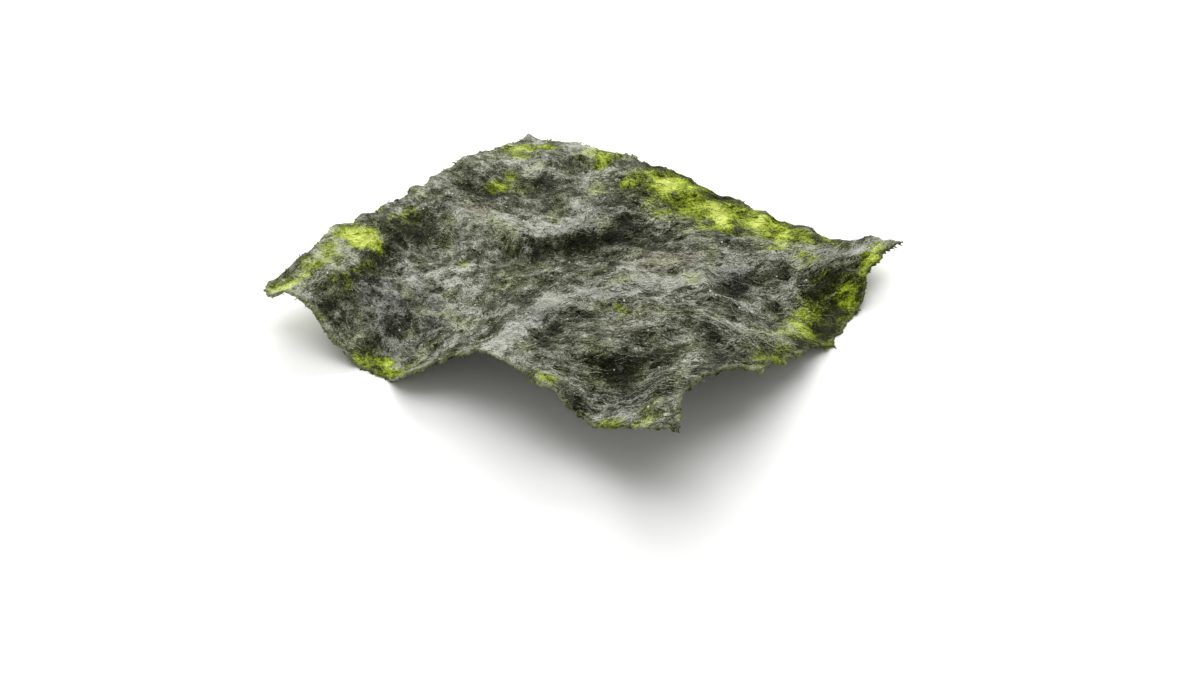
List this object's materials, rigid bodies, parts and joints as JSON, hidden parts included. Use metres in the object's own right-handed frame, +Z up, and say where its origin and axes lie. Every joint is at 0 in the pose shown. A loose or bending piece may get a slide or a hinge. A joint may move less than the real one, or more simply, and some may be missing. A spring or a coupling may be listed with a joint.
{
  "type": "roasted nori sheet",
  "caption": "One thin, wavy, roughly square snack-cut sheet of roasted seaweed with ragged edges, curled corners and pinholes.",
  "frame": {"origin": "on the table plane under the middle of the sheet's bounding box", "axes": "+Z up from the table through the sheet; +X along the front cut edge, the longer side; +Y from the front cut edge to the back one"},
  "size_m": [0.0726, 0.0666, 0.0141],
  "materials": {
    "nori": "roasted laver, near-black green with a grey sheen at low angles and yellow-green glow where it is thin"
  },
  "bodies": {
    "root": {"nori_sheet": "nori"}
  },
  "joints": []
}
